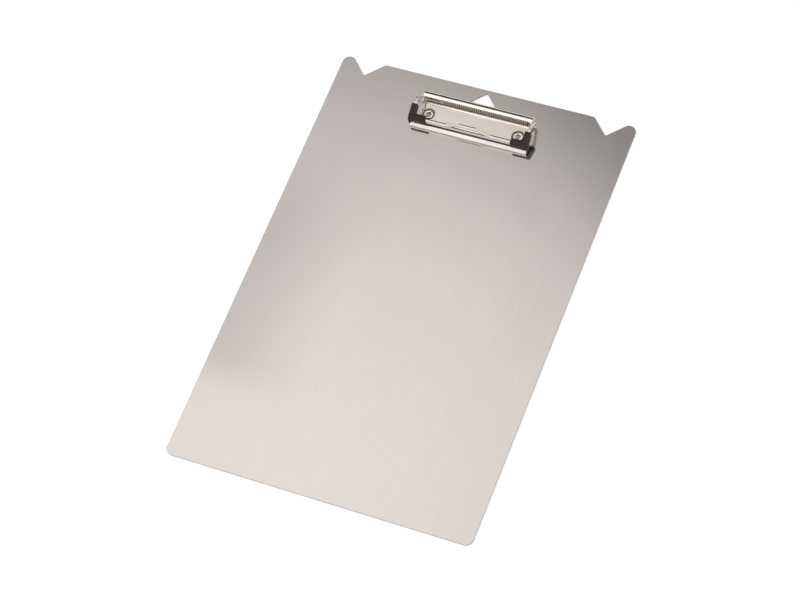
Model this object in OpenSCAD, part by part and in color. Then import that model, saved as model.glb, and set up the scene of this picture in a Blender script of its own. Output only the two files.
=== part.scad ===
// A flat aluminium clipboard for A4 paper with a low wire clip.
// The board lies in the XY plane with its back on Z = 0, the clip is near the +Y end.

/* [Board] */
// Width of the sheet
board_w = 222; // [180:1:320]
// Length of the sheet
board_l = 326.5; // [260:0.5:460]
// Thickness of the sheet
board_t = 1; // [0.8:0.1:3]
// Radius of the two bottom corners
corner_r = 5; // [1:0.5:12]
// Radius of the two ears at the top corners
ear_r = 5; // [3:0.5:8]
// Depth of the right-angled notch beside each ear
notch_depth = 12.4; // [6:0.1:16]
// Radius at the bottom of a notch
notch_r = 1.2; // [0.5:0.1:2]
// Radius of the shoulder between a notch and the top edge
shoulder_r = 2; // [0.5:0.5:4]

/* [Hanging hole] */
// Distance from the top edge to the point of the hole
hole_drop = 2.4; // [2:0.1:4]
// Height of the three-cornered hole
hole_h = 11.8; // [8:0.1:12]
// Radius of the hole's corners
hole_r = 1; // [0.5:0.1:2]

/* [Base plate] */
// Distance from the board's top edge to the hinge axis
hinge_drop = 18.5; // [18.5:0.5:40]
// Width of the base plate, over its two ears
plate_w = 81.5; // [70:0.5:120]
// Reach of the base plate, from the hinge axis to its front edge
plate_reach = 18.2; // [16.8:0.1:18.6]
// Thickness of the base plate's steel
sheet_t = 0.7; // [0.5:0.1:0.8]
// Height of the base plate's top face above the board
pan_h = 2.2; // [1.8:0.1:2.4]
// Radius of the base plate's pressed front and side edges
edge_r = 1.1; // [0.9:0.1:1.3]
// Height of the curl's underside above the board
curl_lift = 0.8; // [0.5:0.1:0.9]
// Outer radius of the curl over the spring
curl_r = 3.7; // [3.6:0.1:4.5]
// How far the curl reaches forward past its top, in degrees
curl_past = 30; // [10:1:34]
// Radius of the base plate's front corners
plate_corner_r = 1.5; // [0.8:0.1:3]

/* [Rivets] */
// Distance between the two rivets
rivet_spacing = 67.5; // [50:0.5:70]
// Distance from the hinge axis forward to the rivets
rivet_reach = 12.2; // [11.8:0.1:12.4]
// Diameter of a rivet's shank
shank_d = 4; // [3:0.1:4.4]
// Diameter of a rivet's rolled head
head_d = 6.2; // [5.4:0.1:7]
// Height of a rivet's head above the sheet that it holds
head_h = 1.3; // [0.8:0.1:1.5]
// Diameter of the recess in a rivet's head
recess_d = 3; // [1.6:0.1:3.2]
// Diameter of the dimple in the base plate round a rivet
dimple_d = 9.6; // [8.4:0.1:9.8]
// Clearance round a rivet's shank
shank_clear = 0.05; // [0.02:0.01:0.2]

/* [Wire bail] */
// Diameter of the bail's wire
wire_d = 2.4; // [2:0.1:2.6]
// Gap between an ear of the base plate and the bail's arm
arm_gap = 0.65; // [0.4:0.05:1.5]
// Distance from the hinge axis forward to the bail's front run
front_reach = 20.2; // [20:0.1:24]
// Height of the front run's axis above the board
front_h = 7; // [6.4:0.1:8]
// Distance from the hinge axis forward to the crest of an arm
crest_reach = 8.2; // [6:0.1:10]
// Height of the crest of an arm above the board
crest_h = 11.4; // [10:0.1:14]
// Width of the raised finger loop at its foot
loop_foot_w = 33; // [26:0.5:40]
// Width of the raised finger loop at its top
loop_top_w = 12.6; // [8:0.1:16]
// Height that the finger loop rises above the front run
loop_rise = 3.8; // [2:0.1:6]
// Distance that the finger loop leans back
loop_lean = 0.5; // [0:0.1:2]
// Clearance of the bail in the ears' holes
pin_clear = 0.05; // [0.02:0.01:0.1]

/* [Spring] */
// Diameter of the spring's wire
spring_wire_d = 1.1; // [0.8:0.05:1.2]
// Clearance between the coil and the curl
coil_clear = 0.4; // [0.2:0.05:0.5]
// Gap between neighbouring turns
turn_gap = 0.5; // [0.45:0.05:1]
// Least length of the straight stretch at the left of the coil
straight_run = 9; // [6:0.5:20]
// Distance along the arm from the hinge axis to the spring's hook
hook_reach = 8; // [6.5:0.1:9]
// Clearance between the hook and the arm
hook_clear = 0.15; // [0.1:0.05:0.4]

/* [Jaw strip] */
// Thickness of the strip's steel
strip_t = 0.5; // [0.4:0.1:0.7]
// Outer radius of the rolled foot
foot_r = 1.6; // [1.2:0.1:1.8]
// Distance from the hinge axis forward to the foot's axis
foot_reach = 22.6; // [22.4:0.1:26]
// Gap between the foot and the board at rest
foot_gap = 0.2; // [0.1:0.05:0.4]
// Gap between the strip's top edge and the wire above it
strip_clear = 0.1; // [0.05:0.05:0.3]

/* [Corner caps] */
// Length of a cap along the front run
cap_l = 12.6; // [10:0.1:16]
// Length of a cap along the arm
cap_side_l = 11.3; // [9:0.1:13]
// Depth of a cap, front to back, round the front run
cap_depth = 5; // [4.4:0.1:5.2]
// Width of a cap round the arm
cap_w = 4.2; // [3.8:0.1:5]
// Plastic above the wire
cap_over = 1.1; // [0.8:0.1:1.6]
// Plastic below the wire
cap_under = 1.2; // [0.8:0.1:1.6]
// Radius of a cap's outer corner, seen from above
cap_corner_r = 2.4; // [1:0.1:3]

/* [Hidden] */
$fn = 48;

sheet_colour = [0.74, 0.72, 0.71];
plate_colour = [0.80, 0.78, 0.73];
wire_colour = [0.62, 0.60, 0.57];
cap_colour = [0.13, 0.12, 0.12];

top_y = board_l / 2;
hinge_y = top_y - hinge_drop;
hinge_h = curl_lift + curl_r;
curl_in_r = curl_r - sheet_t;
dip_r = sheet_t;
dip_h = pan_h - sheet_t / 2 - dip_r;
dip_y = -sqrt(pow(curl_r - sheet_t / 2 + dip_r, 2) - pow(hinge_h - dip_h, 2));
dip_angle = atan2(hinge_h - dip_h, -dip_y);
rivet_x = rivet_spacing / 2;
rivet_y = hinge_y - rivet_reach;
tail_flare = 0.9;
tail_d = shank_d + 2 * board_t * tail_flare;
dimple_slope = 0.7;

arm_x = plate_w / 2 + arm_gap + wire_d / 2;
corner_bend_r = 3;
crest_bend_r = 5;
loop_bend_r = 2.5;
hinge_bend_r = wire_d / 2 + arm_gap - 0.05;

foot_h = foot_r + foot_gap;
foot = [-foot_reach, foot_h];
wall_foot = foot + [foot_r - strip_t / 2, 0];
wall_top = [-front_reach, front_h - wire_d / 2 - strip_clear];
wall_run = wall_top - wall_foot;
wall_side = [wall_run[1], -wall_run[0]] / norm(wall_run);
strip_w = 2 * arm_x + wire_d + 0.2;
strip_fit = 0.05;

coil_r = curl_in_r - coil_clear - spring_wire_d / 2;
pitch = spring_wire_d + turn_gap;
leg_angle = 203;

eps = 0.01;

// A corner of an outline, rounded: the arc's points, or the corner itself where r is 0
function rounded_corner(before, at, after, r, steps = 10) =
    let (
        u = (before - at) / norm(before - at),
        v = (after - at) / norm(after - at),
        half = acos(u * v) / 2,
        mid = (u + v) / norm(u + v),
        centre = at + mid * r / sin(half),
        start = at + u * r / tan(half) - centre,
        turn = (180 - 2 * half) * sign(u[0] * v[1] - u[1] * v[0])
    )
    r == 0 ? [at] : [for (i = [0:steps])
        let (a = -turn * i / steps)
        centre + [start[0] * cos(a) - start[1] * sin(a), start[0] * sin(a) + start[1] * cos(a)]];

// An outline whose corners are [x, y, radius]
function rounded_outline(c) =
    let (n = len(c), p = [for (q = c) [q[0], q[1]]])
    [for (i = [0:n - 1]) each rounded_corner(p[(i + n - 1) % n], p[i], p[(i + 1) % n], c[i][2])];

// The board's half outline on the +X side, from the bottom to the middle of the top edge
ear_x = board_w / 2 - ear_r * (1 + tan(22.5));
notch_x = ear_x - notch_depth;
right_side = [
    [board_w / 2, -top_y, corner_r],
    [board_w / 2, top_y, ear_r],
    [ear_x, top_y, ear_r],
    [notch_x, top_y - notch_depth, notch_r],
    [notch_x - notch_depth, top_y, shoulder_r]
];

function mirrored(c) = [for (i = [len(c) - 1:-1:0]) [-c[i][0], c[i][1], c[i][2]]];

module board() {
    apex_y = top_y - hole_drop;
    color(sheet_colour)
    difference() {
        linear_extrude(board_t)
        difference() {
            polygon(rounded_outline(concat(right_side, mirrored(right_side))));
            polygon(rounded_outline([
                [0, apex_y, hole_r],
                [hole_h, apex_y - hole_h, hole_r],
                [-hole_h, apex_y - hole_h, hole_r]
            ]));
        }
        for (side = [-1, 1])
        translate([side * rivet_x, rivet_y, 0]) {
            translate([0, 0, -eps])
            cylinder(d = shank_d + 2 * shank_clear, h = board_t + 2 * eps);
            tail_sink(shank_clear);
        }
    }
}

// The countersink for a rivet's tail, flush with the back of the board
module tail_sink(clear) {
    translate([0, 0, -eps])
    cylinder(d1 = tail_d + 2 * clear, d2 = shank_d + 2 * clear, h = board_t * 0.7);
}

// Turns a profile drawn in Y (right) and Z (up) into a bar along X, centred
module along_x(length) {
    rotate([90, 0, 90])
    linear_extrude(length, center = true)
    children();
}

// Puts the hinge axis, at the board's top face, where the clip's own frame has it
module at_hinge() {
    translate([0, hinge_y, board_t])
    children();
}

module base_plate() {
    color(plate_colour)
    at_hinge()
    difference() {
        union() {
            difference() {
                pan(0);
                pan(sheet_t);
            }
            dip();
            curl();
            for (side = [-1, 1])
            translate([side * (plate_w - sheet_t) / 2, 0, 0])
            along_x(sheet_t)
            ear();
            for (side = [-1, 1])
            translate([side * rivet_x, -rivet_reach, 0])
            dimple(0);
        }
        for (side = [-1, 1])
        translate([side * rivet_x, -rivet_reach, 0]) {
            dimple(sheet_t);
            translate([0, 0, -eps])
            cylinder(d = shank_d + 2 * shank_clear, h = sheet_t + 2 * eps);
        }
        translate([0, 0, hinge_h])
        along_x(plate_w + 2)
        circle(d = wire_d + 2 * pin_clear);
        tail_hole();
    }
}

// The pressed pan's form, drawn in by an inset: a raised field whose front and side edges turn
// down to the board with a radius. The inset one reaches below the board's face, to cut.
module pan(inset) {
    half = plate_w / 2 - inset;
    front = plate_reach - inset;
    top = pan_h - inset;
    low = -2 * inset;
    r = edge_r - inset;
    intersection() {
        translate([0, -front, low])
        linear_extrude(top - low)
        polygon(rounded_outline([
            [-half, 0, max(plate_corner_r - inset, 0.2)],
            [half, 0, max(plate_corner_r - inset, 0.2)],
            [half, front + dip_y, 0],
            [-half, front + dip_y, 0]
        ]));
        along_x(2 * half)
        polygon(rounded_outline([[-front, low, 0], [dip_y, low, 0], [dip_y, top, 0], [-front, top, r]]));
        rotate([90, 0, 0])
        linear_extrude(front)
        polygon(rounded_outline([[-half, low, 0], [half, low, 0], [half, top, r], [-half, top, r]]));
    }
}

// The bend that takes the pan down into the curl. It is a hair thinner than they are and runs a
// little way into both, so that together they are one solid.
module dip() {
    lap = 1.5;
    thinner = 0.01;
    translate([0, dip_y, dip_h])
    along_x(plate_w)
    intersection() {
        difference() {
            circle(dip_r + (sheet_t - thinner) / 2);
            circle(dip_r - (sheet_t - thinner) / 2);
        }
        polygon([
            [0, 0],
            3 * dip_r * [cos(dip_angle - lap), sin(dip_angle - lap)],
            3 * dip_r * [cos(90 + lap), sin(90 + lap)]
        ]);
    }
}

// The rear edge, curled from the pan round its back and over its top
module curl() {
    far = 3 * curl_r;
    translate([0, 0, hinge_h])
    along_x(plate_w)
    difference() {
        circle(curl_r, $fn = 96);
        circle(curl_in_r, $fn = 96);
        polygon([
            [0, 0],
            far * [cos(90 + curl_past), sin(90 + curl_past)],
            [-far, 0],
            far * [cos(180 + dip_angle), sin(180 + dip_angle)]
        ]);
    }
}

// An ear that closes the curl's end and carries the hinge wire, on a foot that meets the flange
module ear() {
    foot_front = 1.75 * curl_r;
    foot_rear = 0.7 * curl_r;
    translate([0, hinge_h])
    circle(curl_r, $fn = 96);
    polygon([
        [-foot_front, 0],
        [foot_rear, 0],
        [foot_rear, hinge_h / 2],
        [0, hinge_h],
        [-0.9 * curl_r, hinge_h * 0.8],
        [-foot_front, pan_h - edge_r]
    ]);
}

// The dimple round a rivet, which brings the plate down onto the board. It is drawn a second time,
// raised by the sheet's thickness, to cut its own hollow.
module dimple(lift) {
    floor_d = dimple_d - 2 * dimple_slope;
    translate([0, 0, lift])
    cylinder(d1 = floor_d, d2 = dimple_d, h = pan_h - sheet_t + (lift > 0 ? eps : sheet_t / 2));
}

// The hole in the right ear that holds the spring's fixed end
module tail_hole() {
    translate([plate_w / 2, coil_r * cos(leg_angle), hinge_h + coil_r * sin(leg_angle)])
    along_x(3 * sheet_t)
    circle(d = spring_wire_d + 2 * pin_clear);
}

// A tubular rivet: rolled head with a recess, shank, and a flush tail in the board's countersink
module rivet(side) {
    seat = board_t + sheet_t;
    roll_r = head_h / 2;
    recess_h = 1.3;
    color(plate_colour)
    translate([side * rivet_x, rivet_y, 0])
    difference() {
        union() {
            cylinder(d = shank_d, h = seat + roll_r);
            tail_sink(0);
            translate([0, 0, seat])
            cylinder(d = head_d - 2 * roll_r, h = head_h);
            translate([0, 0, seat + roll_r])
            rotate_extrude($fn = 64)
            translate([head_d / 2 - roll_r, 0])
            circle(roll_r);
        }
        translate([0, 0, -board_t])
        cylinder(d = 2 * tail_d, h = board_t);
        translate([0, 0, seat + head_h - recess_h])
        cylinder(d1 = recess_d * 0.7, d2 = recess_d, h = recess_h + eps);
    }
}

// A straight stretch of wire from a to b
module straight(a, b, d) {
    run = b - a;
    translate(a)
    rotate([0, acos(run[2] / norm(run)), atan2(run[1], run[0])])
    cylinder(d = d, h = norm(run));
}

// A bend at the corner between two stretches that run along u, then v. It is a hair thinner than
// they are and runs a little way into them, so that together they are one solid.
module bend(at, u, v, r, d) {
    lap = 1.5;
    thinner = 0.01;
    turn = acos(u * v);
    out = (v - u) / norm(v - u);
    centre = at + out * r / cos(turn / 2);
    x = (at - u * r * tan(turn / 2) - centre) / r;
    z = cross(x, u);
    multmatrix([
        [x[0], u[0], z[0], centre[0]],
        [x[1], u[1], z[1], centre[1]],
        [x[2], u[2], z[2], centre[2]],
        [0, 0, 0, 1]
    ])
    rotate([0, 0, -lap])
    rotate_extrude(angle = turn + 2 * lap, $fn = 64)
    translate([r, 0])
    circle(d = d - thinner, $fn = 32);
}

// The spring's wire, flat on the coil's cylinder: leftward, and round it. It runs straight along
// the cylinder, bends round into the helix, and bends back to run straight again.
coil_bend_r = 1.4;
coil_slope = atan(pitch / (2 * PI * coil_r));
coil_turn = 90 - coil_slope;
bend_l = coil_bend_r * sin(coil_turn);
bend_round = coil_bend_r * (1 - cos(coil_turn));
tail_gap = 0.1;
leg_gap = 0.2;
lip_gap = 0.25;
tail_end_x = plate_w / 2 + lip_gap;
tail_x = plate_w / 2 - sheet_t - spring_wire_d / 2 - tail_gap;
leg_x = plate_w / 2 - sheet_t - spring_wire_d / 2 - leg_gap;
turns = floor((tail_x + leg_x - straight_run - 2 * bend_l) / pitch);
helix_round = turns * 2 * PI * coil_r - 2 * bend_round;
helix_l = helix_round * tan(coil_slope);
rings_per_turn = 8;
helix_rings = round(rings_per_turn * helix_round / (2 * PI * coil_r));
helix_end = [bend_l + helix_l, bend_round + helix_round];

unrolled = concat(
    [[tail_x - tail_end_x, 0], [(tail_x - tail_end_x) / 2, 0]],
    [for (a = [0:coil_turn / 6:coil_turn - 1]) coil_bend_r * [sin(a), 1 - cos(a)]],
    [for (i = [0:helix_rings]) [bend_l, bend_round] + [helix_l, helix_round] * i / helix_rings],
    [for (a = [coil_turn - coil_turn / 6:-coil_turn / 6:1])
        helix_end + [bend_l, bend_round] - coil_bend_r * [sin(a), 1 - cos(a)]],
    [helix_end + [bend_l, bend_round]]
);

function on_coil(p) =
    let (a = leg_angle + p[1] / coil_r * 180 / PI)
    [tail_x - p[0], coil_r * cos(a), coil_r * sin(a)];

// The leg's corners [x, y, z, bend radius]: out through the curl's open front, forward under the
// bail's left arm and round it in a hook
arm_dir = [-crest_reach, crest_h - hinge_h] / norm([crest_reach, crest_h - hinge_h]);
arm_up = [arm_dir[1], -arm_dir[0]];
hook_off = (wire_d + spring_wire_d) / 2 + hook_clear;
hook_under = arm_dir * hook_reach - arm_up * hook_off;
hook_over = arm_dir * hook_reach + arm_up * hook_off;
leg_out = (curl_r + spring_wire_d / 2 + lip_gap) * [cos(leg_angle), sin(leg_angle)];
leg_in = coil_r * [cos(leg_angle), sin(leg_angle)];
leg_corners = [
    [-leg_x, leg_in[0], leg_in[1], 0.9],
    [-leg_x, leg_out[0], leg_out[1], 1],
    [-leg_x, hook_under[0], hook_under[1], 1.2],
    [-arm_x - hook_off, hook_under[0], hook_under[1], 1.2],
    [-arm_x - hook_off, hook_over[0], hook_over[1], 1.2]
];
leg_end = [hook_off - arm_x, hook_over[0], hook_over[1]];

function unit(v) = v / norm(v);

// The arc round a corner of a route in space
function arc_3d(before, at, after, r, steps = 5) =
    let (
        u = unit(at - before),
        v = unit(after - at),
        turn = acos(u * v),
        centre = at + unit(v - u) * r / cos(turn / 2),
        x = (at - u * r * tan(turn / 2) - centre) / r
    )
    [for (i = [0:steps]) centre + r * (x * cos(turn * i / steps) + u * sin(turn * i / steps))];

spring_route =
    let (
        coil = [for (p = unrolled) on_coil(p)],
        c = [for (q = leg_corners) [q[0], q[1], q[2]]],
        n = len(c)
    )
    concat(coil, [for (i = [0:n - 1]) each
        arc_3d(i == 0 ? coil[len(coil) - 1] : c[i - 1], c[i], i == n - 1 ? leg_end : c[i + 1],
               leg_corners[i][3])], [leg_end]);

// The least gap between stretches of a wire that are more than four diameters apart along it
function least_gap(p, d) =
    let (
        n = len(p),
        along = [for (i = 0, s = 0; i < n; i = i + 1, s = s + norm(p[min(i, n - 1)] - p[i - 1])) s]
    )
    min([for (i = [0:n - 1]) for (j = [i + 1:1:n - 1])
        if (along[j] - along[i] > 4 * d) norm(p[j] - p[i])]) - d;

// A tube of six sides along a route. Each ring's first corner is carried on from the ring before,
// so the tube doesn't twist.
module tube(p, d) {
    n = len(p);
    sides = 6;
    dir = [for (i = [0:n - 1]) unit(p[min(i + 1, n - 1)] - p[max(i - 1, 0)])];
    first = unit(cross(dir[0], [0.3, 0.5, 0.8]));
    side = [for (i = 0, s = first; i < n; i = i + 1,
                 s = unit(s - (s * dir[min(i, n - 1)]) * dir[min(i, n - 1)])) s];
    rings = [for (i = [0:n - 1]) for (k = [0:sides - 1])
        let (a = 360 * k / sides)
        p[i] + d / 2 * (cos(a) * side[i] + sin(a) * cross(dir[i], side[i]))];
    walls = [for (i = [0:n - 2]) for (k = [0:sides - 1])
        let (a = i * sides + k, b = i * sides + (k + 1) % sides)
        each [[a, b, b + sides], [a, b + sides, a + sides]]];
    ends = [for (k = [1:sides - 2]) each
        [[0, k + 1, k], [(n - 1) * sides, (n - 1) * sides + k, (n - 1) * sides + k + 1]]];
    polyhedron(rings, [for (f = concat(walls, ends)) [f[2], f[1], f[0]]]);
}

module torsion_spring() {
    echo(least_gap_of_the_spring = least_gap(spring_route, spring_wire_d), turns = turns);
    color(wire_colour)
    at_hinge()
    translate([0, 0, hinge_h])
    tube(spring_route, spring_wire_d);
}

// A closed loop of bent wire through corners [x, y, z, bend radius]
module bent_wire(c, d) {
    n = len(c);
    p = [for (q = c) [q[0], q[1], q[2]]];
    dir = [for (i = [0:n - 1]) (p[(i + 1) % n] - p[i]) / norm(p[(i + 1) % n] - p[i])];
    cut = [for (i = [0:n - 1]) c[i][3] * tan(acos(dir[(i + n - 1) % n] * dir[i]) / 2)];
    for (i = [0:n - 1]) {
        j = (i + 1) % n;
        straight(p[i] + dir[i] * cut[i], p[j] - dir[i] * cut[j], d, $fn = 32);
        bend(p[j], dir[i], dir[j], c[j][3], d);
    }
}

// The bail's corners on the +X side, from the hinge round to the finger loop, from the hinge point
bail_side = [
    [arm_x, 0, hinge_h, hinge_bend_r],
    [arm_x, -crest_reach, crest_h, crest_bend_r],
    [arm_x, -front_reach, front_h, corner_bend_r],
    [loop_foot_w / 2, -front_reach, front_h, loop_bend_r],
    [loop_top_w / 2, loop_lean - front_reach, front_h + loop_rise, loop_bend_r]
];
bail_corners = concat(bail_side, [for (i = [len(bail_side) - 1:-1:0])
    [-bail_side[i][0], bail_side[i][1], bail_side[i][2], bail_side[i][3]]]);

module wire_bail() {
    color(wire_colour)
    at_hinge()
    bent_wire(bail_corners, wire_d);
}

// The strip's section: the rolled foot, and a wall that leans back to just under the wire
module strip_section() {
    side = wall_side * strip_t / 2;
    seam = 0.35;
    difference() {
        union() {
            translate(foot)
            circle(foot_r);
            polygon([wall_foot - side, wall_foot + side, wall_top + side, wall_top - side]);
        }
        translate(foot)
        circle(foot_r - strip_t);
        translate(foot - [0, seam])
        square([foot_r * 2, seam]);
    }
}

module jaw_strip() {
    color(wire_colour)
    at_hinge()
    along_x(strip_w)
    strip_section();
}

// A corner cap on the +X side. Its front arm covers the end of the front run and of the strip,
// and its side arm covers the start of the bail's arm.
module corner_cap() {
    out_x = arm_x + cap_w / 2;
    in_x = arm_x - cap_w / 2;
    front = front_reach + cap_depth / 2;
    rear = front_reach - cap_depth / 2;
    side_rear = front - cap_side_l;
    top = front_h + wire_d / 2 + cap_over;
    under = front_h - wire_d / 2 - cap_under;
    slope = (crest_h - front_h) / (front_reach - crest_reach);
    rise = slope * (front_reach - side_rear);
    skirt_h = pan_h + 0.4;
    skirt_y = foot_r + strip_fit - foot_reach;
    cheek_x = strip_w / 2 + 2 * strip_fit;
    color(cap_colour)
    at_hinge()
    difference() {
        union() {
            // Front arm, with a skirt behind the strip's wall that stays above the base plate
            intersection() {
                translate([(out_x + out_x - cap_l) / 2, 0, 0])
                along_x(cap_l)
                polygon(rounded_outline([
                    [-front, under, 0.8],
                    [skirt_y, under, 0],
                    [skirt_y, skirt_h, 0.3],
                    [-rear, skirt_h, 0.6],
                    [-rear, top, 1.2],
                    [-front, top, 1.8]
                ]));
                cap_plan(out_x - cap_l, out_x, -front, -rear);
            }
            // Side arm, which climbs with the bail's arm
            intersection() {
                translate([arm_x, 0, 0])
                along_x(cap_w)
                polygon(rounded_outline([
                    [-front, under, 0.8],
                    [-front_reach, under, 0],
                    [-side_rear, under + rise, 0.8],
                    [-side_rear, top + rise, 1.2],
                    [-front_reach, top, 0],
                    [-front, top, 1.8]
                ]));
                cap_plan(in_x, out_x, -front, -side_rear);
            }
            // Cheek over the end of the rolled foot
            translate([(cheek_x + out_x) / 2, 0, 0])
            along_x(out_x - cheek_x)
            polygon(rounded_outline([
                [-foot_reach - 0.5, foot_h - 0.7, 0.6],
                [-rear, skirt_h, 0.6],
                [-rear, top - 1, 0.5],
                [-front, top - 1, 0.5],
                [-front, under + 0.4, 0.5]
            ]));
        }
        bent_wire(bail_corners, wire_d + 0.1);
        along_x(strip_w + 2 * strip_fit)
        strip_space();
    }
}

// The plan outline of a cap's arm, tall enough to cut the whole arm
module cap_plan(x0, x1, y0, y1) {
    linear_extrude(40)
    polygon(rounded_outline([
        [x0, y0, 0.5],
        [x1, y0, cap_corner_r],
        [x1, y1, 0.5],
        [x0, y1, 0.5]
    ]));
}

// The space that the strip takes in a cap, from below the cap up to the wire
module strip_space() {
    side = wall_side * (strip_t / 2 + strip_fit);
    low = wall_foot - wall_run;
    high = wall_top + wall_run * 0.1;
    polygon([low - side, low + side, high + side, high - side]);
    translate(foot)
    circle(foot_r + strip_fit);
}

module corner_cap_left() {
    mirror([1, 0, 0])
    corner_cap();
}

module corner_cap_right() {
    corner_cap();
}

board();
base_plate();
rivet(-1);  // rivet_left
rivet(1);  // rivet_right
torsion_spring();
wire_bail();
jaw_strip();
corner_cap_left();
corner_cap_right();
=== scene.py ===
# Looks for an aluminium clipboard with a wire clip: finishes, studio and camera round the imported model.
import math

import bmesh
import bpy
from mathutils import Matrix, Vector


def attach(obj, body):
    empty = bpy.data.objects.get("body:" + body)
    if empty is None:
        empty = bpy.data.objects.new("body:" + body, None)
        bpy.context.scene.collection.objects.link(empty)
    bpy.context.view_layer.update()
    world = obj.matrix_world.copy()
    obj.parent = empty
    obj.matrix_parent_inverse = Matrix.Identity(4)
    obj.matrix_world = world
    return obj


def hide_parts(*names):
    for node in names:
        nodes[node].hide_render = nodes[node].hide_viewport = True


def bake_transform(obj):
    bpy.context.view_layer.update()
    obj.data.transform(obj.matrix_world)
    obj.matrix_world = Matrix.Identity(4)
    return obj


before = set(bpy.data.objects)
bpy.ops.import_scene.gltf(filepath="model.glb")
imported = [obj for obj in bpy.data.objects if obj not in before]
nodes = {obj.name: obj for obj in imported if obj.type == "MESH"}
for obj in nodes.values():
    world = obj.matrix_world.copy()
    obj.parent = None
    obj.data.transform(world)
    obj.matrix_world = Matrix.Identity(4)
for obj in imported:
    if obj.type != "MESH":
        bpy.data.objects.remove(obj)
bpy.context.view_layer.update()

MM = 0.001

# The clip's places and sizes in mm, as in the part's source.
HINGE = Vector((0, 144.75, 5.5))
SPRING_D = 1.1
COIL_R = 2.05
TURNS = 41
PITCH = 1.6
RIVETS = ((-33.75, "left"), (33.75, "right"))
RIVET_Y = 132.55


class Graph:
    """Short calls that add nodes to a material's or the world's tree."""

    def __init__(self, tree):
        self.tree = tree

    def add(self, kind, **settings):
        node = self.tree.nodes.new(kind)
        for key, value in settings.items():
            setattr(node, key, value)
        return node

    def link(self, source, target):
        self.tree.links.new(source, target)

    def math(self, operation, *values):
        """A Math node on numbers or other nodes' outputs."""
        node = self.add("ShaderNodeMath", operation=operation)
        for socket, value in zip(node.inputs, values):
            if isinstance(value, (int, float)):
                socket.default_value = value
            else:
                self.link(value, socket)
        return node.outputs[0]

    def product(self, first, *others):
        for value in others:
            first = self.math("MULTIPLY", first, value)
        return first

    def carry(self, easing, source, start, end, low, high):
        """Carries a value from start..end to low..high, and no further."""
        node = self.add("ShaderNodeMapRange", interpolation_type=easing)
        for name, value in (("From Min", start), ("From Max", end), ("To Min", low), ("To Max", high)):
            node.inputs[name].default_value = value
        self.link(source, node.inputs["Value"])
        return node.outputs["Result"]

    def smooth(self, source, start, end, low, high):
        return self.carry("SMOOTHSTEP", source, start, end, low, high)

    def axes(self, place):
        node = self.add("ShaderNodeSeparateXYZ")
        self.link(place, node.inputs[0])
        return node.outputs


class Finish(Graph):
    """A material under construction, with short calls for what the finishes share."""

    def __init__(self, name, base, metallic, roughness):
        self.material = bpy.data.materials.new(name)
        self.material.use_nodes = True
        super().__init__(self.material.node_tree)
        self.shader = self.tree.nodes["Principled BSDF"]
        self.shader.inputs["Base Color"].default_value = (*base, 1)
        self.shader.inputs["Metallic"].default_value = metallic
        self.shader.inputs["Roughness"].default_value = roughness
        self.place = self.add("ShaderNodeTexCoord").outputs["Object"]

    def noise(self, scale, detail):
        """Noise on object coordinates in metres, scaled apart along X, Y and Z."""
        mapping = self.add("ShaderNodeMapping")
        mapping.inputs["Scale"].default_value = scale
        self.link(self.place, mapping.inputs["Vector"])
        node = self.add("ShaderNodeTexNoise")
        node.inputs["Scale"].default_value = 1
        node.inputs["Detail"].default_value = detail
        self.link(mapping.outputs["Vector"], node.inputs["Vector"])
        return node.outputs["Fac"]

    def spread(self, noise, low, high):
        """Carries the middle of a noise, where nearly all of it lies, to low..high."""
        return self.carry("LINEAR", noise, 0.3, 0.7, low, high)

    def mix(self, source, a, b):
        """Mixes two colours, each three numbers or another node's output, by a value."""
        node = self.add("ShaderNodeMix", data_type="RGBA")
        factor, first, second = (node.inputs[i] for i in (0, 6, 7))
        self.link(source, factor)
        for socket, colour in ((first, a), (second, b)):
            if isinstance(colour, tuple):
                socket.default_value = (*colour, 1)
            else:
                self.link(colour, socket)
        return node.outputs[2]

    def colour(self, source):
        self.link(source, self.shader.inputs["Base Color"])

    def rough(self, source):
        self.link(source, self.shader.inputs["Roughness"])

    def bump(self, height, distance):
        node = self.add("ShaderNodeBump")
        node.inputs["Strength"].default_value = 1
        node.inputs["Distance"].default_value = distance
        self.link(height, node.inputs["Height"])
        self.link(node.outputs["Normal"], self.shader.inputs["Normal"])

    def on(self, *names):
        """Puts the finish on CAD nodes or pieces."""
        for name in names:
            wearer = nodes[name] if name in nodes else bpy.data.objects[name]
            wearer.data.materials.clear()
            wearer.data.materials.append(self.material)


def new_piece(name, bm, body, replaced=(), sharp=40):
    """Makes an object of a bmesh. Edges that turn by more than sharp degrees stay crisp."""
    mesh = bpy.data.meshes.new(name)
    bm.to_mesh(mesh)
    bm.free()
    mesh.shade_smooth()
    mesh.set_sharp_from_angle(angle=math.radians(sharp))
    obj = bpy.data.objects.new(name, mesh)
    bpy.context.scene.collection.objects.link(obj)
    if body:
        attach(obj, body)
    for node in replaced:
        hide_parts(node)
    return obj


def ease(bm, edges, size):
    """Rounds edges off a little."""
    bmesh.ops.bevel(bm, geom=edges, offset=size, offset_type="OFFSET", segments=2, profile=0.5,
                    affect="EDGES", material=-1)


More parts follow.
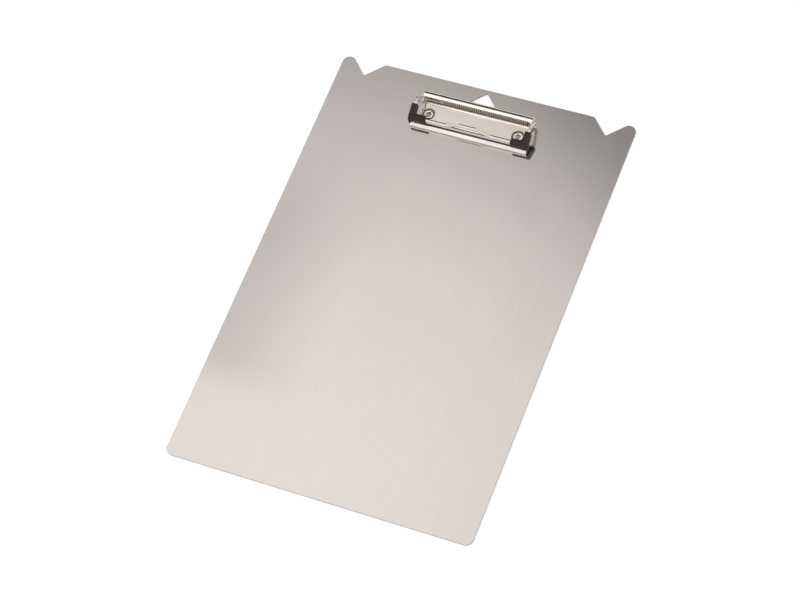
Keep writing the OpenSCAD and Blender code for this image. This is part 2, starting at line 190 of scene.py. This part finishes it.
def swept_wire(route, d):
    """A round wire swept along a route of points by extruding one ring, with eased ends."""
    sides = 10
    across = [Vector((0.3, 0.5, 0.8))]

    def place(i):
        ahead = (route[min(i + 1, len(route) - 1)] - route[max(i - 1, 0)]).normalized()
        across.append((across[-1] - across[-1].dot(ahead) * ahead).normalized())
        turn = Matrix((across[-1], ahead.cross(across[-1]), ahead)).transposed().to_4x4()
        return Matrix.Translation(route[i]) @ turn

    bm = bmesh.new()
    here = place(0)
    bmesh.ops.create_circle(bm, segments=sides, radius=d / 2, matrix=here)
    edges = list(bm.edges)
    for i in range(1, len(route)):
        made = bmesh.ops.extrude_edge_only(bm, edges=edges)["geom"]
        ring = {v for v in made if isinstance(v, bmesh.types.BMVert)}
        there = place(i)
        bmesh.ops.transform(bm, matrix=there @ here.inverted(), verts=list(ring))
        edges = [e for e in made if isinstance(e, bmesh.types.BMEdge) and ring.issuperset(e.verts)]
        here = there
    bmesh.ops.holes_fill(bm, edges=bm.edges, sides=0)
    ease(bm, [e for f in bm.faces if len(f.verts) == sides for e in f.edges], d * 0.2)
    bmesh.ops.recalc_face_normals(bm, faces=bm.faces)
    return bm


def arc(before, corner, after, r, steps=6):
    """Points round a corner of a route."""
    u, v = (corner - before).normalized(), (after - corner).normalized()
    turn = u.angle(v)
    centre = corner + (v - u).normalized() * r / math.cos(turn / 2)
    x = (corner - u * r * math.tan(turn / 2) - centre) / r
    return [centre + r * (x * math.cos(turn * i / steps) + u * math.sin(turn * i / steps))
            for i in range(steps + 1)]


def spring_route():
    """The spring's wire: fixed end, coil, straight run, and the leg hooked round the bail's left arm.

    The coil is drawn unrolled first, as places along the hinge and round the coil, in mm. At each
    end it bends into the hinge's direction.
    """
    start_x, leave = 39.4, math.radians(203)
    bend_r, bend_steps, rings_a_turn = 1.4, 6, 16
    slope = math.atan(PITCH / (2 * math.pi * COIL_R))
    quarter = math.pi / 2 - slope
    bend = [bend_r * Vector((math.sin(a), 1 - math.cos(a)))
            for a in (quarter * i / bend_steps for i in range(bend_steps + 1))]
    step = bend.pop()
    round_l = TURNS * 2 * math.pi * COIL_R - 2 * step.y
    helix = Vector((round_l * math.tan(slope), round_l))
    rings = TURNS * rings_a_turn
    flat = [Vector((-1.6, 0)), Vector((-0.8, 0))] + bend
    flat += [step + helix * i / rings for i in range(rings + 1)]
    flat += [step + helix + step - p for p in reversed(bend)]
    turned = [(start_x - p.x, leave + p.y / COIL_R) for p in flat]
    coil = [Vector((x, COIL_R * math.cos(a), COIL_R * math.sin(a))) for x, a in turned]
    # The leg's corners from the hinge, each with the radius of its bend.
    corners = [(-39.3, -1.89, -0.80, 0.9), (-39.3, -4.14, -1.76, 1.0), (-39.3, -7.34, 3.70, 1.2),
               (-44.5, -7.34, 3.70, 1.2), (-44.5, -4.90, 6.60, 1.2)]
    tip = Vector((-40.7, -4.90, 6.60))
    points = [coil[-1]] + [Vector(c[:3]) for c in corners] + [tip]
    for i, corner in enumerate(corners):
        coil += arc(points[i], points[i + 1], points[i + 2], corner[3])
    return [(HINGE + p) * MM for p in coil + [tip]]


def spring():
    """The torsion spring, which on the real clip twists along its coil as the jaw opens; here it is one piece,
    carried by no body.
    """
    wire = swept_wire(spring_route(), SPRING_D * MM)
    obj = new_piece("spring_coil", wire, None, ["torsion_spring"])
    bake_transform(obj)


def plate_bead():
    """The low ridge along the plate's rear bend: a slice off a lying round bar, cut square behind."""
    r, rise, top, length, crest_y, rear_y = 7.7, 0.17, 3.2, 78.5, 142.1, 142.8
    sunk, edge = 0.15, 0.08
    bm = bmesh.new()
    lie = Matrix.Translation(Vector((0, crest_y, top + rise - r)) * MM) @ Matrix.Rotation(math.pi / 2, 4, "Y")
    bmesh.ops.create_cone(bm, cap_ends=True, segments=256, radius1=r * MM, radius2=r * MM,
                          depth=length * MM, matrix=lie)
    for place, away in (((0, 0, (top - sunk) * MM), (0, 0, -1)), ((0, rear_y * MM, 0), (0, 1, 0))):
        bmesh.ops.bisect_plane(bm, geom=bm.verts[:] + bm.edges[:] + bm.faces[:], plane_co=place,
                               plane_no=away, clear_outer=True)
        bmesh.ops.holes_fill(bm, edges=[e for e in bm.edges if e.is_boundary], sides=0)
    bmesh.ops.recalc_face_normals(bm, faces=bm.faces)
    showing = (top - 0.1) * MM
    ease(bm, [e for e in bm.edges
              if e.calc_face_angle() > 0.6 and min(v.co.z for v in e.verts) > showing], edge * MM)
    new_piece("plate_bead", bm, "base", sharp=26)


def rivet_head(x, side):
    """A tubular rivet's rolled head, turned from its profile, on the shank that shows at the board's back."""
    seat, roll, roll_r, roll_z = 1.8, 0.4, 2.9, 0.88
    # Radius and height over the seat in mm: the recess, the rolled rim, and the shank to the board's back.
    profile = [(0, 0.35), (1.25, 0.35), (1.45, 0.42), (1.6, 0.62), (1.85, 1.05), (2.0, 1.2), (2.2, 1.28),
               (2.55, 1.3)]
    profile += [(roll_r + roll * math.sin(a), roll_z + roll * math.cos(a))
                for a in (math.radians(v) for v in range(15, 181, 15))]
    profile += [(1.7, 0.06), (1.7, 0.02 - seat), (1.6, -seat), (0, -seat)]
    bm = bmesh.new()
    line = [bm.verts.new((x * MM + r * MM, RIVET_Y * MM, (seat + z) * MM)) for r, z in profile]
    edges = [bm.edges.new(pair) for pair in zip(line, line[1:])]
    bmesh.ops.spin(bm, geom=line + edges, cent=(x * MM, RIVET_Y * MM, 0), axis=(0, 0, 1),
                   angle=2 * math.pi, steps=48, use_merge=True)
    bmesh.ops.remove_doubles(bm, verts=bm.verts, dist=1e-7)
    bmesh.ops.recalc_face_normals(bm, faces=bm.faces)
    new_piece("rivet_head_" + side, bm, "base", ["rivet_" + side])


def clamp_strip():
    """The jaw strip: a leaning wall on a rolled foot that is pressed flat on top, bent from one sheet."""
    thick, half_length, edge = 0.5, 43.85, 0.1
    # The section's corners, as Y and Z, each with the radius of its bend.
    corners = [(124.78, 6.8, 0), (124.02, 2.6, 0.5), (123.45, 1.25, 0.7), (120.65, 1.25, 0.7),
               (120.65, 2.95, 0.6), (122.95, 4.2, 0)]
    points = [Vector((-half_length, y, z)) for y, z, r in corners]
    line = [points[0]]
    for i in range(1, len(points) - 1):
        line += arc(points[i - 1], points[i], points[i + 1], corners[i][2])
    line.append(points[-1])
    bm = bmesh.new()
    verts = [bm.verts.new(p * MM) for p in line]
    edges = [bm.edges.new(pair) for pair in zip(verts, verts[1:])]
    made = bmesh.ops.extrude_edge_only(bm, edges=edges)["geom"]
    bmesh.ops.translate(bm, verts=[v for v in made if isinstance(v, bmesh.types.BMVert)],
                        vec=(2 * half_length * MM, 0, 0))
    bmesh.ops.recalc_face_normals(bm, faces=bm.faces)
    wall = max(bm.faces, key=lambda f: f.calc_center_median().z)
    inward = 1 if wall.normal.y > 0 else -1
    bmesh.ops.solidify(bm, geom=bm.faces[:], thickness=inward * thick * MM)
    bmesh.ops.recalc_face_normals(bm, faces=bm.faces)
    ease(bm, [e for e in bm.edges if e.calc_face_angle() > 1.2], edge * MM)
    new_piece("clamp_strip", bm, "jaw", ["jaw_strip"], sharp=26)


def satin_aluminium():
    """Rolled sheet: fine brushing along its length, faint clouds, darker towards its left edge, and cut edges
    with a painted dark reflection.
    """
    sheet_top, sheet_bottom = 0.94 * MM, 0.05 * MM
    f = Finish("satin_aluminium", (0.62, 0.572, 0.545), 1.0, 0.13)
    brushing = f.noise((2600, 45, 400), 4)
    cloud = f.noise((18, 9, 18), 2)
    x, y, z = f.axes(f.place)
    # The band only darkens the colour towards the left edge.
    band = f.product(f.smooth(x, -0.03, -0.11, 0, 1), f.smooth(y, -0.115, -0.08, 0, 1),
                     f.smooth(y, 0.0, 0.12, 1, 0))
    grain = f.math("ADD", f.product(brushing, 0.6), f.product(cloud, 0.4))
    face = f.mix(f.spread(grain, 0, 1), (0.60, 0.552, 0.526), (0.64, 0.592, 0.564))
    face = f.mix(band, face, (0.49, 0.45, 0.428))
    # The cut edges carry a painted dark reflection: their colour is darkened to stand for the dark surroundings
    # they mirror, and they are made rougher.
    cut = f.product(f.math("LESS_THAN", z, sheet_top), f.math("GREATER_THAN", z, sheet_bottom))
    f.colour(f.mix(cut, face, (0.24, 0.22, 0.205)))
    f.rough(f.math("ADD", f.spread(cloud, 0.11, 0.15), f.product(cut, 0.3)))
    f.bump(brushing, 0.004 * MM)
    return f


def bright_nickel(name, base, roughness):
    """Plated pressed steel: smooth, with a slight waviness from the press."""
    f = Finish(name, base, 1.0, roughness)
    wave = f.noise((160, 160, 160), 2)
    fine = f.noise((900, 2400, 900), 3)
    f.face = f.mix(f.spread(fine, 0, 1), tuple(c * 0.97 for c in base), tuple(min(1, c * 1.02) for c in base))
    f.colour(f.face)
    f.rough(f.spread(wave, roughness * 0.85, roughness * 1.2))
    f.bump(wave, 0.012 * MM)
    return f


def from_rivet(f):
    """A place's distance from the nearer rivet's axis, and how far behind the axis it is."""
    x, y, z = f.axes(f.place)
    across = f.math("SUBTRACT", f.math("ABSOLUTE", x), RIVETS[1][0] * MM)
    along = f.math("SUBTRACT", y, RIVET_Y * MM)
    squares = f.math("ADD", f.product(across, across), f.product(along, along))
    return f.math("SQRT", squares), along


def rivet_nickel():
    """The rivets' plating, with painted shade in the hollow of each head, darkest on its far side."""
    f = bright_nickel("rivet_nickel", (0.90, 0.84, 0.78), 0.22)
    r, along = from_rivet(f)
    # Painted shade: darkens the hollow of each rivet head, more on the side behind its axis.
    recess_shade = f.product(f.smooth(r, 0.0017, 0.0020, 1, 0), f.smooth(along, -0.0012, 0.0008, 0.0, 0.9))
    f.colour(f.mix(recess_shade, f.face, (0.16, 0.14, 0.125)))
    return f


def plate_nickel():
    """The base plate's plating, with painted shade in a dark ring in the dimple round each rivet."""
    f = bright_nickel("nickel_plate", (0.98, 0.89, 0.80), 0.18)
    r, along = from_rivet(f)
    # Painted shade: a dark ring in the dimple round each rivet, where shade falls.
    dimple_shade = f.product(f.smooth(r, 0.0030, 0.0033, 0, 1), f.smooth(r, 0.0037, 0.0043, 1, 0))
    f.colour(f.mix(dimple_shade, f.face, (0.13, 0.115, 0.10)))
    return f


def strip_nickel():
    """The jaw strip's plating, with painted shade in a dark line where the wall meets the rolled foot."""
    f = bright_nickel("strip_nickel", (0.80, 0.755, 0.73), 0.2)
    x, y, z = f.axes(f.place)
    # Painted shade: a dark line along the fold between the wall and the rolled foot, where shade falls.
    fold_shade = f.product(f.smooth(z, 0.0038, 0.0041, 0, 1), f.smooth(z, 0.0044, 0.0048, 1, 0),
                       f.smooth(y, 0.1226, 0.1230, 0, 1))
    f.colour(f.mix(fold_shade, f.face, (0.07, 0.062, 0.055)))
    return f


def drawn_wire(name, base, roughness, metallic):
    """Plated drawn wire, slightly uneven in tone."""
    f = Finish(name, base, metallic, roughness)
    tone = f.noise((700, 700, 700), 2)
    f.colour(f.mix(f.spread(tone, 0, 1), tuple(c * 0.93 for c in base), base))
    f.rough(f.spread(tone, roughness * 0.8, roughness * 1.25))
    f.bump(tone, 0.006 * MM)
    return f


def black_plastic():
    """Injection-moulded black plastic with a soft gloss and a fine eggshell grain."""
    f = Finish("black_plastic", (0.026, 0.016, 0.012), 0.0, 0.38)
    f.shader.inputs["Specular IOR Level"].default_value = 0.22
    grain = f.noise((5200, 5200, 5200), 2)
    cloud = f.noise((240, 240, 240), 2)
    f.colour(f.mix(f.spread(cloud, 0, 1), (0.021, 0.013, 0.010), (0.034, 0.022, 0.017)))
    f.rough(f.spread(cloud, 0.32, 0.46))
    f.bump(grain, 0.01 * MM)
    return f


def floor():
    """A pale floor that shows as white, to the camera and in the metal, and keeps its shadow."""
    under_sheet, glow = 0.15 * MM, 0.26
    mesh = bpy.data.meshes.new("floor")
    bm = bmesh.new()
    bmesh.ops.create_grid(bm, x_segments=1, y_segments=1, size=6)
    bmesh.ops.translate(bm, verts=bm.verts, vec=(0, 0, -under_sheet))
    bm.to_mesh(mesh)
    bm.free()
    obj = bpy.data.objects.new("floor", mesh)
    bpy.context.scene.collection.objects.link(obj)
    material = bpy.data.materials.new("white_sweep")
    material.use_nodes = True
    sweep = Graph(material.node_tree)
    shader = sweep.tree.nodes["Principled BSDF"]
    shader.inputs["Base Color"].default_value = (0.82, 0.82, 0.82, 1)
    shader.inputs["Roughness"].default_value = 0.9
    shader.inputs["Specular IOR Level"].default_value = 0.1
    shader.inputs["Emission Color"].default_value = (1, 1, 1, 1)
    path = sweep.add("ShaderNodeLightPath").outputs
    seen = sweep.math("MAXIMUM", path["Is Camera Ray"], path["Is Glossy Ray"])
    seen = sweep.math("MAXIMUM", seen, path["Is Transmission Ray"])
    sweep.link(sweep.product(seen, glow), shader.inputs["Emission Strength"])
    mesh.materials.append(material)


def studio_light():
    """A bright room, across which runs a narrow dark ring with a light panel in it, above the board.

    The clip's bars lie along X and mirror only the ring, which gives them their dark lines. The flat
    sheet mirrors the panel in the photograph's view, and the bright room from elsewhere.
    """
    room_light, panel_light, ring_light = 1.05, 1.22, 0.04
    eye_x, eye_y, eye_z = 0.540, -0.672, 1.529
    ring_x, ring_half, ring_end = -0.298, 0.15, 0.25
    flags = (((0.585, 0.443, 0.680), 12, 20), ((-0.88, 0.442, 0.165), 8, 14))

    world = bpy.data.worlds.new("soft_studio")
    bpy.context.scene.world = world
    world.use_nodes = True
    sky = Graph(world.node_tree)
    direction = sky.add("ShaderNodeTexCoord").outputs["Generated"]
    x, y, z = sky.axes(direction)

    # Across and along are the places on the board, in metres, that mirror a direction to the eye.
    up = sky.math("MAXIMUM", z, 0.1)
    across = sky.math("MULTIPLY_ADD", sky.math("DIVIDE", x, up), eye_z, eye_x)
    along = sky.math("MULTIPLY_ADD", sky.math("DIVIDE", y, up), eye_z, eye_y)
    corner = sky.math("MULTIPLY_ADD", across, 0.9, along)

    # The panel fades behind the board's top edge, sharply past a slanting edge at its right corner.
    fades = ((along, -0.10, 0.52, 1.0, 0.0), (along, 0.09, 0.2, 1.0, 0.74), (corner, 0.175, 0.235, 1.0, 0.36),
             (across, 0.03, 0.2, 1.0, 0.84), (across, -0.2, -0.05, 0.94, 1.0))
    panel = sky.product(*(sky.smooth(*fade) for fade in fades))
    panel = sky.math("MULTIPLY_ADD", panel, panel_light, ring_light)
    off_ring = sky.math("ABSOLUTE", sky.math("SUBTRACT", x, ring_x))
    ring = sky.smooth(off_ring, ring_half, ring_end, 1.0, 0.0)

    # Two dark flags beside the ring, each with its inner and outer angle, dim the wire's legs.
    room = room_light
    for towards, inner, outer in flags:
        spot = sky.add("ShaderNodeVectorMath", operation="DOT_PRODUCT")
        sky.link(direction, spot.inputs[0])
        spot.inputs[1].default_value = Vector(towards).normalized()
        inner, outer = (math.cos(math.radians(angle)) for angle in (inner, outer))
        room = sky.product(room, sky.smooth(spot.outputs["Value"], outer, inner, 1.0, 0.1))

    level = sky.math("ADD", sky.product(panel, ring), sky.product(room, sky.math("SUBTRACT", 1.0, ring)))
    background = sky.tree.nodes["Background"]
    background.inputs["Color"].default_value = (1, 1, 1, 1)
    sky.link(level, background.inputs["Strength"])


def fill_lamp():
    """A broad soft lamp overhead that fills the shadows on the floor and on dull surfaces."""
    data = bpy.data.lights.new("fill", "AREA")
    data.shape = "SQUARE"
    data.size = 2.4
    data.energy = 6
    obj = bpy.data.objects.new("fill", data)
    obj.location = (-0.3, 0.1, 2.2)
    obj.visible_glossy = False
    bpy.context.scene.collection.objects.link(obj)


def camera():
    """The photograph's viewpoint, solved from the board's corners and notches."""
    focal_px, width_px = 2578.97, 800
    place = Vector((0.53997, -0.67231, 1.52919))
    right = Vector((0.91653937, 0.36395999, -0.1657972))
    up = Vector((-0.25494334, 0.85108727, 0.45897098))
    data = bpy.data.cameras.new("photo_view")
    data.sensor_width = 36
    data.lens = data.sensor_width * focal_px / width_px
    data.clip_start = 0.05
    data.clip_end = 50
    obj = bpy.data.objects.new("photo_view", data)
    bpy.context.scene.collection.objects.link(obj)
    turn = Matrix((right, up, right.cross(up))).transposed().to_4x4()
    obj.matrix_world = Matrix.Translation(place) @ turn
    bpy.context.scene.camera = obj


spring()
plate_bead()
clamp_strip()
for rivet_x, rivet_side in RIVETS:
    rivet_head(rivet_x, rivet_side)

satin_aluminium().on("board")
plate_nickel().on("base_plate", "plate_bead")
rivet_nickel().on("rivet_left", "rivet_right", "rivet_head_left", "rivet_head_right")
strip_nickel().on("jaw_strip", "clamp_strip")
drawn_wire("bail_wire", (0.68, 0.64, 0.59), 0.16, 1.0).on("wire_bail")
drawn_wire("spring_wire", (0.50, 0.47, 0.42), 0.36, 0.75).on("torsion_spring", "spring_coil")
black_plastic().on("corner_cap_left", "corner_cap_right")

floor()
studio_light()
fill_lamp()
camera()
bpy.context.scene.view_settings.view_transform = "Standard"
